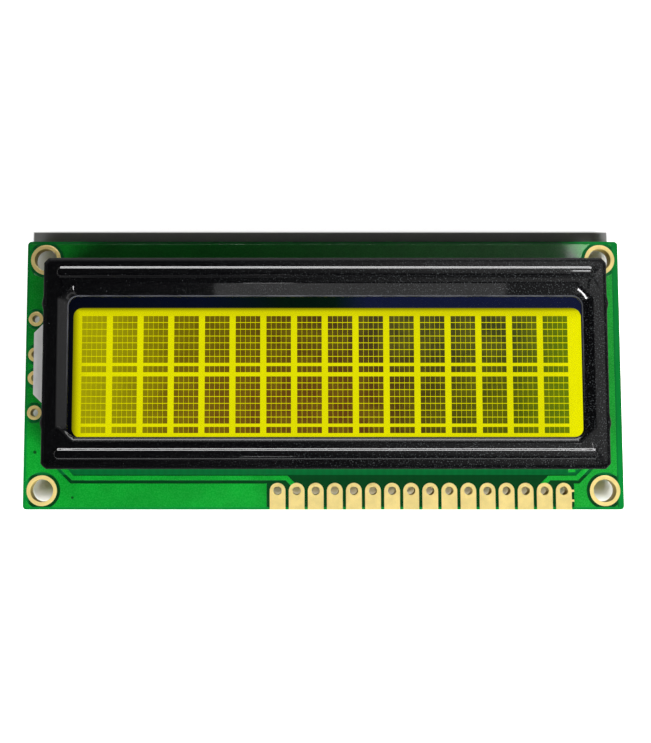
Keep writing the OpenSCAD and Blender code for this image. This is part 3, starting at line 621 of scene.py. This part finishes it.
def clear_finish(name, colour, alpha, rough):
    """Clear sheet or plate that lets the light behind it through."""
    f = Finish(name, Roughness=rough, IOR=1.5)
    haze = f.grain(6 * MM, detail=2).step(0.3, 0.7)
    f.put("Base Color", f.mix(haze, shade(colour, 0.9), colour))
    side = f.facing().size().step(0.7, 0.4)
    f.put("Alpha", side.step(0, 1, alpha, min(1.0, alpha + 0.5)))
    return f.material


def polarizer_finish():
    """Front polarizer: a clear film with a soft gloss that grows towards grazing views."""
    f = Finish("polarizer", Base_Color=(0.01, 0.012, 0.014), Roughness=0.12)
    matte = f.grain(0.06 * MM, detail=1)
    f.bump(matte, 1 * MICRON)
    clear = f.add("ShaderNodeBsdfTransparent", None, {"Color": (0.97, 0.98, 0.93)})
    gloss = f.add("ShaderNodeFresnel", None, {"IOR": 1.45})
    f.surface(f.add("ShaderNodeMixShader", None, {0: (gloss - 0.02).most(0.004), 1: clear, 2: f.shaded}))
    return f.material


def tape_finish():
    """Dark tape round the lit field: it takes a navy or green cast from the films over it, painted as a glow
    of its own in place of the light that falls on it.
    """
    f = lit_finish("black_tape", (0.01, 0.01, 0.014))
    f.put("Roughness", 0.8)
    f.put("Specular IOR Level", 0.1)
    x, y, _ = f.places()
    along = x / (70 * MM) + 0.5
    stops = [(0.0, (0.0012, 0.0018, 0.007)), (0.28, (0.002, 0.0035, 0.016)), (0.42, (0.001, 0.007, 0.003)),
             (0.52, (0.001, 0.008, 0.004)), (0.58, (0.007, 0.010, 0.042)), (1.0, (0.008, 0.011, 0.045))]
    # painted light: the tape's glow is stronger towards the far side, where more light reaches it
    high = y.step(-9 * MM, 8 * MM, 0.35, 1.0)
    fine = f.grain(0.25 * MM, detail=3)
    cast = high * fine.step(0.2, 0.8, 0.7, 1.0)
    f.put("Emission Color", f.mix(cast, (0.0, 0.0, 0.001), f.ramp(along, stops)))
    f.bump(fine, 4 * MICRON)
    return f.material


def zebra_finish():
    """Contact strip: thin dark layers between pink rubber."""
    f = Finish("elastomer", Roughness=0.7)
    layers = f.waves("X", 2 * MM).step(0.35, 0.65)
    f.put("Base Color", f.mix(layers, (0.03, 0.02, 0.02), (0.65, 0.2, 0.24)))
    f.bump(f.grain(0.2 * MM), 4 * MICRON)
    return f.material


# ---- pieces ----


class Maker:
    """Shared by the operators: undo, and the register in which they are listed."""

    bl_options = {"REGISTER", "UNDO"}


class DISPLAY_OT_bezel(Maker, bpy.types.Operator):
    """Stamp the bezel: folded walls, two beads, a sunk surround and the window."""

    bl_idname = "display.bezel"
    bl_label = "Stamped bezel"

    def execute(self, context):
        s = context.scene.display_bezel
        bm = bmesh.new()
        self.walls(bm, s)
        outline = [e for e in bm.edges if e.is_boundary and min(v.co.z for v in e.verts) > FACE_Z - MICRON]
        holes = self.surround(bm, s) + self.beads(bm, s)
        filled = bmesh.ops.triangle_fill(bm, use_beauty=True, edges=outline + holes)
        bmesh.ops.remove_doubles(bm, verts=bm.verts, dist=MICRON)
        flat = [g for g in filled["geom"] if isinstance(g, bmesh.types.BMFace) and g.is_valid]
        face_up(bm, flat[0])
        self.lug_opening(bm, s)
        self.corner_slits(bm)
        paint = paint_finish(s)
        piece = finish_mesh("stamped_bezel", bm, paint, 40, DISPLAY_Y)
        sheet = piece.modifiers.new("sheet", "SOLIDIFY")
        sheet.thickness = s.sheet
        sheet.offset = -1
        edge = piece.modifiers.new("edge", "BEVEL")
        edge.width = 0.05 * MM
        edge.segments = 2
        edge.limit_method = "ANGLE"
        edge.angle_limit = math.radians(60)
        even_normals(piece)
        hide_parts("bezel")
        self.tabs(s, paint)
        return {"FINISHED"}

    def walls(self, bm, s):
        """The four walls, with dents in the side walls, up to the end of the fold."""
        levels = (MASK_TOP, MASK_TOP + 2 * MM, MASK_TOP + 4.5 * MM, MASK_TOP + 7 * MM, FACE_Z - WALL_END)
        loops = [loop(bm, s.wall_x, -s.wall_y, s.wall_y, z, s.corner, TIGHT_CORNER) for z in levels]
        for turn in quarter_turn(6):
            inset = s.fold * (1 - math.cos(turn))
            y = s.wall_y - inset
            z = FACE_Z - s.fold * (1 - math.sin(turn))
            loops.append(loop(bm, s.wall_x - inset, -y, y, z, s.corner, TIGHT_CORNER))
        bridge(bm, loops)
        self.dents(bm, s)

    def surround(self, bm, s):
        """The sunk surround down to the rolled lip of the window. Returns its outer edges."""
        loops = []
        # over the soft shoulder: how far out of the surround's edge and how far down, in millimetres
        for grow, drop in ((0.16, 0), (0.05, 0.006), (-0.06, 0.026), (-0.18, 0.055)):
            x, y = s.surround_x + grow * MM, s.surround_y + grow * MM
            z = FACE_Z - drop * MM
            loops.append(loop(bm, x, -y, y, z, s.surround_cut, CUT_CORNER))
        # halfway down the slope from there to the lip, where the cut corners are shorter
        halfway, shorter = 0.55, 0.72
        lip = Vector((s.window_x + s.lip, -s.window_near - s.lip, s.window_far + s.lip))
        sides = Vector((x, -y, y)).lerp(lip, halfway)
        z -= halfway * (s.surround_drop - drop * MM)
        loops.append(loop(bm, *sides, z, shorter * s.surround_cut, CUT_CORNER))
        for turn in quarter_turn(3):
            grow = s.lip * (1 - math.sin(turn))
            near, far = -s.window_near - grow, s.window_far + grow
            z = FACE_Z - s.surround_drop - s.lip * (1 - math.cos(turn))
            loops.append(loop(bm, s.window_x + grow, near, far, z, s.window_corner + grow))
        bridge(bm, loops)
        return loops[0]

    def beads(self, bm, s):
        """Two raised beads with round ends. Returns the edges at their feet."""
        feet = []
        for side in (-1, 1):
            y = side * (s.wall_y - s.bead_inset)
            loops = []
            for part, rise in BEAD_PROFILE:
                half = s.bead_width / 2 * (1 - part)
                x = (s.bead_length - s.bead_width) / 2 + half
                z = FACE_Z + s.bead_height * rise
                loops.append(loop(bm, x, y - half, y + half, z, half * 0.998, steps=10))
            bridge(bm, loops)
            bmesh.ops.contextual_create(bm, geom=loops[-1])
            feet += loops[0]
        return feet

    def dents(self, bm, s):
        """Two bulges in each side wall."""
        for side in (-1, 1):
            for i in range(-4, 5):
                y = side * s.dent_y + i / 4 * s.dent_length / 2
                split_at(bm, bm.faces, (0, y, 0), (0, 1, 0))
        for v in bm.verts:
            away = (abs(v.co.y) - s.dent_y) / (s.dent_length / 2)
            if abs(away) < 1 and abs(v.co.x) > s.wall_x - s.fold * 0.9:
                high = min(1, (FACE_Z - v.co.z) / s.fold)
                out = s.dent_out * (1 + math.cos(math.pi * away)) / 2 * high
                v.co.x += math.copysign(out, v.co.x)

    def lug_opening(self, bm, s):
        """The opening in the left wall through which the lug stands out."""
        reach = s.lug_length / 2 + s.lug_room
        near, far = s.lug_y - reach, s.lug_y + reach
        high = MASK_TOP + s.lug_height + s.lug_room
        for place, way in (((0, near, 0), (0, 1, 0)), ((0, far, 0), (0, 1, 0)), ((0, 0, high), (0, 0, 1))):
            split_at(bm, self.left_wall(bm, s), place, way)
        gone = []
        for face in self.left_wall(bm, s):
            centre = face.calc_center_median()
            if near < centre.y < far and centre.z < high:
                gone.append(face)
        bmesh.ops.delete(bm, geom=gone, context="FACES")

    def left_wall(self, bm, s):
        """The faces of the left wall."""
        return [f for f in bm.faces if f.normal.x < -0.8 and f.calc_center_median().x < MM - s.wall_x]

    def corner_slits(self, bm):
        """Slits where the walls meet: the middle of each corner, below the fold, is left open."""
        gone = []
        for face in bm.faces:
            slant = abs(abs(face.normal.x) - abs(face.normal.y))
            upright = abs(face.normal.z) < 0.2
            if upright and slant < 0.42 and face.calc_center_median().z < FACE_Z - WALL_END:
                gone.append(face)
        bmesh.ops.delete(bm, geom=gone, context="FACES")

    def tabs(self, s, paint):
        """Twist tabs: straight through the board, turned under it."""
        bm = bmesh.new()
        under = BOARD_LOW.z
        levels = [(MASK_TOP + 0.4 * MM, 0.0), (under - 0.15 * MM, 0.0)]
        levels += [(under - (0.15 + 0.85 * i / 6) * MM, s.tab_turn * i / 6) for i in range(1, 7)]
        levels += [(0.06 * MM, s.tab_turn), (0.0, s.tab_turn)]
        for x in TAB_PLACES:
            for side in (-1, 1):
                centre = Vector((x, side * (s.wall_y - s.sheet / 2), 0))
                loops = []
                for z, turn in levels:
                    small = 1.0 if z > 0 else 0.92
                    before = set(bm.verts)
                    thick = s.sheet / 2 * small
                    loops.append(loop(bm, s.tab_width / 2 * small, -thick, thick, 0, 0.05 * MM, steps=2))
                    fresh = [v for v in bm.verts if v not in before]
                    place = Matrix.Translation(centre + Vector((0, 0, z))) @ Matrix.Rotation(turn, 4, "Z")
                    bmesh.ops.transform(bm, matrix=place, verts=fresh)
                bridge(bm, loops)
                bmesh.ops.contextual_create(bm, geom=loops[0])
                bmesh.ops.contextual_create(bm, geom=loops[-1])
        bmesh.ops.recalc_face_normals(bm, faces=bm.faces)
        piece = finish_mesh("twist_tabs", bm, paint, 40, DISPLAY_Y)


class DISPLAY_OT_dots(Maker, bpy.types.Operator):
    """Lay out the single dots of every character."""

    bl_idname = "display.dots"
    bl_label = "Dots"

    def execute(self, context):
        s = context.scene.display_screen
        centre = (DOTS_LOW + DOTS_HIGH) / 2
        size = Matrix.Diagonal((s.dot_width, s.dot_height, (DOTS_HIGH.z - DOTS_LOW.z) / 2, 1))
        rises = [0] + [s.cursor_step + row * s.dot_step_y for row in range(s.dot_rows)]
        bm = bmesh.new()
        for column in range(s.columns):
            char_x = (column - (s.columns - 1) / 2) * s.char_pitch
            for line in range(s.lines):
                char_y = centre.y + ((s.lines - 1) / 2 - line) * s.line_pitch - rises[-1] / 2
                for i in range(s.dot_columns):
                    x = char_x + (i - (s.dot_columns - 1) / 2) * s.dot_step_x
                    for rise in rises:
                        place = Matrix.Translation((x, char_y + rise, centre.z))
                        bmesh.ops.create_cube(bm, size=1, matrix=place @ size)
        piece = finish_mesh("dot_cells", bm, dot_finish(s.glow))
        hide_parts("liquid_crystal_dots")
        return {"FINISHED"}


class DISPLAY_OT_cell(Maker, bpy.types.Operator):
    """Finish the glass plates, the films and the lit diffuser."""

    bl_idname = "display.cell"
    bl_label = "Cell and backlight"

    def execute(self, context):
        s = context.scene.display_screen
        dress("front_polarizer", polarizer_finish())
        glass = clear_finish("glass", (0.30, 0.38, 0.34), 0.004, 0.05)
        dress("front_glass", glass)
        dress("rear_glass", glass)
        dress("rear_polarizer", clear_finish("rear_polarizer", (0.1, 0.11, 0.05), 0.02, 0.3))
        dress("cell_seal", plain_finish("seal", (0.5, 0.48, 0.38), 0.6, 0.3 * MM, 3 * MICRON))
        dress("rim_tape", tape_finish())
        zebra = zebra_finish()
        dress("far_contact_strip", zebra)
        dress("near_contact_strip", zebra)
        dress("diffuser_sheet", glow_finish(s.glow, s.glow_edge))
        dress("light_guide", clear_finish("acrylic", (0.85, 0.9, 0.7), 0.5, 0.08))
        film = plain_finish("white_film", (0.86, 0.86, 0.83), 0.55, 0.15 * MM, 2 * MICRON, 0.03)
        dress("reflector_film", film)
        white = plain_finish("white_plastic", (0.93, 0.925, 0.90), 0.42, 0.12 * MM, 4 * MICRON, 0.04)
        lug = softened("backlight_frame", "backlight_housing", white, 0.15 * MM, segments=3)
        dress("lamp_board", plain_finish("lamp_laminate", (0.72, 0.7, 0.6), 0.5, 0.2 * MM, 3 * MICRON))
        dress("lamps", plain_finish("lamp_resin", (0.85, 0.7, 0.2), 0.25, 0.3 * MM, 2 * MICRON))
        return {"FINISHED"}


class DISPLAY_OT_board(Maker, bpy.types.Operator):
    """Finish the board, the copper under its mask and the gold plating."""

    bl_idname = "display.board"
    bl_label = "Board and plating"

    def execute(self, context):
        s = context.scene.display_board
        dress("circuit_board", board_finish(s.bare, s.laminate))
        mask = mask_finish(s.mask)
        copper = softened("front_copper", "front_mask", mask, s.edge)
        dress("back_copper", mask)
        gold = gold_finish(s.gold)
        for node, name in (("header_pads", "header_plating"), ("mounting_hole_rings", "mounting_plating"),
                           ("side_pads", "side_plating")):
            piece = softened(node, name, gold, 0.05 * MM)
        dress("contact_fingers", gold)
        return {"FINISHED"}


class DISPLAY_OT_back(Maker, bpy.types.Operator):
    """Finish the potted chips, the chip parts and the leads on the back."""

    bl_idname = "display.back"
    bl_label = "Parts on the back"

    def execute(self, context):
        epoxy = plain_finish("epoxy", (0.008, 0.007, 0.007), 0.32, 0.5 * MM, 12 * MICRON, 0.25)
        for node in ("controller_cap", "driver_cap"):
            low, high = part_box(node)
            piece = self.potting(node.replace("cap", "potting"), low, high, epoxy)
            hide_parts(node)
        silicon = plain_finish("silicon", (0.1, 0.11, 0.14), 0.2, 0.3 * MM, 1 * MICRON)
        dress("controller_chip", silicon)
        dress("driver_chip", silicon)
        tin = plain_finish("tin", (0.62, 0.62, 0.63), 0.35, 0.12 * MM, 6 * MICRON, 0.08, metal=0.9)
        body = plain_finish("resistor_body", (0.012, 0.012, 0.014), 0.35, 0.1 * MM, 3 * MICRON)
        clay = plain_finish("capacitor_body", (0.42, 0.28, 0.16), 0.45, 0.1 * MM, 3 * MICRON)
        for node, name, finish, slot, width in (
            ("chip_resistors", "resistor_bodies", body, "resistor_body", 0.04 * MM),
            ("chip_capacitors", "capacitor_bodies", clay, "capacitor_body", 0.07 * MM),
            ("chip_end_caps", "end_caps", tin, "solder", 0.07 * MM),
            ("lead_joints", "solder_cones", tin, "solder", 0.03 * MM),
        ):
            piece = softened(node, name, finish, width, smooth=45)
        dress("backlight_leads", tin)
        return {"FINISHED"}

    def potting(self, name, low, high, finish):
        """A poured cap: round, low and slightly uneven."""
        centre = (low + high) / 2
        radius = (high.x - low.x) / 2
        bm = bmesh.new()
        # shares of the radius and heights, from the middle of the dome to its foot
        outline = [(0, 0.0), (0.35, 0.03), (0.62, 0.14), (0.82, 0.36), (0.94, 0.66), (0.985, 0.95)]
        points = [(share, low.z + rise * MM) for share, rise in outline] + [(1.0, high.z)]
        verts = [bm.verts.new((share * radius, 0, z)) for share, z in points]
        edges = [bm.edges.new(pair) for pair in zip(verts, verts[1:])]
        bmesh.ops.spin(
            bm, geom=verts + edges, cent=(0, 0, 0), axis=(0, 0, 1),
            angle=math.tau, steps=64, use_merge=True,
        )
        bmesh.ops.remove_doubles(bm, verts=bm.verts, dist=MICRON)
        bmesh.ops.holes_fill(bm, edges=[e for e in bm.edges if e.is_boundary])
        for v in bm.verts:
            if v.co.z < high.z - 0.1 * MM:
                wave = noise.noise(Vector((v.co.x, v.co.y, centre.x)) / (2.5 * MM))
                v.co.z += 0.04 * MM * (wave + 1) / 2
        bmesh.ops.translate(bm, verts=bm.verts, vec=(centre.x, centre.y, 0))
        bmesh.ops.recalc_face_normals(bm, faces=bm.faces)
        return finish_mesh(name, bm, finish, 60)


class DISPLAY_OT_stage(Maker, bpy.types.Operator):
    """Set the pale floor, the soft lights, the surroundings and the camera."""

    bl_idname = "display.stage"
    bl_label = "Studio"

    def execute(self, context):
        scene = context.scene
        s = scene.display_stage
        scene.view_settings.view_transform = "Standard"
        self.floor()
        self.world(scene)
        for name, place, size, power, kind in LAMPS:
            self.lamp(name, place, size, power, kind)
        camera = bpy.data.objects.new("camera", bpy.data.cameras.new("camera"))
        scene.collection.objects.link(camera)
        scene.camera = camera
        camera.location = (s.camera_x, s.camera_y, BOARD_HIGH.z + s.camera_z)
        camera.rotation_euler = (s.tilt, 0, 0)
        camera.data.clip_start = 5 * MM
        # the view's height at the board sets the lens, and a shift brings the module to the middle
        zoom = s.camera_z / (s.view_width * VIEW_TALLNESS)
        camera.data.lens = camera.data.sensor_width * zoom
        centre = Matrix.Rotation(-s.tilt, 3, "X") @ (Vector((0, 0, FACE_Z)) - camera.location)
        camera.data.shift_x = centre.x / -centre.z * zoom
        camera.data.shift_y = centre.y / -centre.z * zoom
        return {"FINISHED"}

    def lamp(self, name, place, size, power, kind):
        """A soft panel for diffuse light or for gloss. It faces the module, or hangs level high over it."""
        data = bpy.data.lights.new(name, "AREA")
        data.shape = "RECTANGLE"
        data.size, data.size_y = size
        data.energy = power
        light = bpy.data.objects.new(name, data)
        light.location = place
        light.visible_glossy = kind == "glossy"
        light.visible_diffuse = kind == "diffuse"
        if place[2] < LEVEL_LAMPS:
            light.rotation_euler = Vector(place).to_track_quat("Z", "Y").to_euler()
        bpy.context.scene.collection.objects.link(light)

    def floor(self):
        """A plain pale floor that keeps the module's shadow, with a painted shadow: a darker strip along the
        far edge.
        """
        bm = bmesh.new()
        bmesh.ops.create_grid(bm, x_segments=1, y_segments=1, size=4)
        mesh = bpy.data.meshes.new("floor")
        bm.to_mesh(mesh)
        bm.free()
        floor = bpy.data.objects.new("floor", mesh)
        bpy.context.scene.collection.objects.link(floor)
        f = Finish("floor", Roughness=0.9, Specular_IOR_Level=0.0)
        x, y, _ = f.places()
        beyond_far = y - BOARD_HIGH.y
        beside = (x.size() - BOARD_HIGH.x).most((y * -1) - BOARD_HIGH.y).most(beyond_far - FAR_SHADOW)
        beside = beside.most((x - BOARD_HIGH.x + 0.4 * MM).least(beyond_far))
        beside = beside.step(-0.15 * MM, 0.2 * MM)
        shadow = (1 - beside) * beyond_far.step(0, 0.3 * MM)
        # painted shadow: the floor is darker, and without glow, in the strip beyond the board's far edge
        f.put("Base Color", f.mix(shadow, (0.86, 0.86, 0.86), (0.28, 0.28, 0.28)))
        glow = {"Color": (1, 1, 1), "Strength": self.seen(f) * beside * 0.9}
        glow = f.add("ShaderNodeEmission", None, glow)
        f.surface(f.add("ShaderNodeAddShader", None, {0: f.shaded, 1: glow}))
        mesh.materials.append(f.material)

    @staticmethod
    def seen(f):
        """1 for what the camera sees directly, in gloss or through glass."""
        rays = [f.add("ShaderNodeLightPath", output=name)
                for name in ("Is Camera Ray", "Is Glossy Ray", "Is Transmission Ray")]
        return rays[0].most(rays[1]).most(rays[2])

    def world(self, scene):
        """Soft surroundings: bright low at the far side, dimmer at the right and in front, dark overhead."""
        scene.world = bpy.data.worlds.new("studio")
        f = Tree(scene.world, "ShaderNodeOutputWorld")
        where = f.add("ShaderNodeTexCoord", output="Generated")
        x, y, z = (f.axis(name, where) for name in "XYZ")
        toward = x * 0.30 + y * 0.88 + z * 0.37
        right = (x * 0.8 + y * 0.3 + z * 0.044).step(0.0, 0.34, 0.0, 0.62) * x.step(0.36, 0.5, 1.0, 0.3)
        front = (y * -1).step(0.7, 0.92, 0.0, 0.3)
        level = toward.step(0.85, 0.97, 0.03, 0.85).most(right).most(front)
        in_gloss = f.add("ShaderNodeLightPath", output="Is Glossy Ray")
        direct = f.add("ShaderNodeLightPath", output="Is Camera Ray")
        strength = in_gloss * level + (1 - in_gloss) * 0.09
        strength = direct + (1 - direct) * strength
        f.surface(f.add("ShaderNodeBackground", None, {"Color": (1, 1, 1), "Strength": strength}))


class DISPLAY_PT_panel(bpy.types.Panel):
    """Lists the pieces in the order in which they are made."""

    bl_idname = "DISPLAY_PT_panel"
    bl_label = "Display module"
    bl_space_type = "VIEW_3D"
    bl_region_type = "UI"
    bl_category = "Display"

    def draw(self, context):
        for maker in OPERATORS:
            self.layout.operator(maker.bl_idname)
        for name in SETTINGS:
            group = getattr(context.scene, name)
            box = self.layout.box()
            for key in group.__annotations__:
                box.prop(group, key)


OPERATORS = (
    DISPLAY_OT_bezel, DISPLAY_OT_dots, DISPLAY_OT_cell,
    DISPLAY_OT_board, DISPLAY_OT_back, DISPLAY_OT_stage,
)
SETTINGS = {
    "display_bezel": BezelSizes,
    "display_screen": ScreenSizes,
    "display_board": BoardSizes,
    "display_stage": StageSizes,
}
CLASSES = (*SETTINGS.values(), *OPERATORS, DISPLAY_PT_panel)


def register():
    for cls in CLASSES:
        bpy.utils.register_class(cls)
    for name, group in SETTINGS.items():
        setattr(bpy.types.Scene, name, PointerProperty(type=group))


def unregister():
    for name in SETTINGS:
        delattr(bpy.types.Scene, name)
    for cls in reversed(CLASSES):
        bpy.utils.unregister_class(cls)


def main():
    register()
    for maker in OPERATORS:
        group, name = maker.bl_idname.split(".")
        getattr(getattr(bpy.ops, group), name)()


if __name__ == "__main__":
    main()
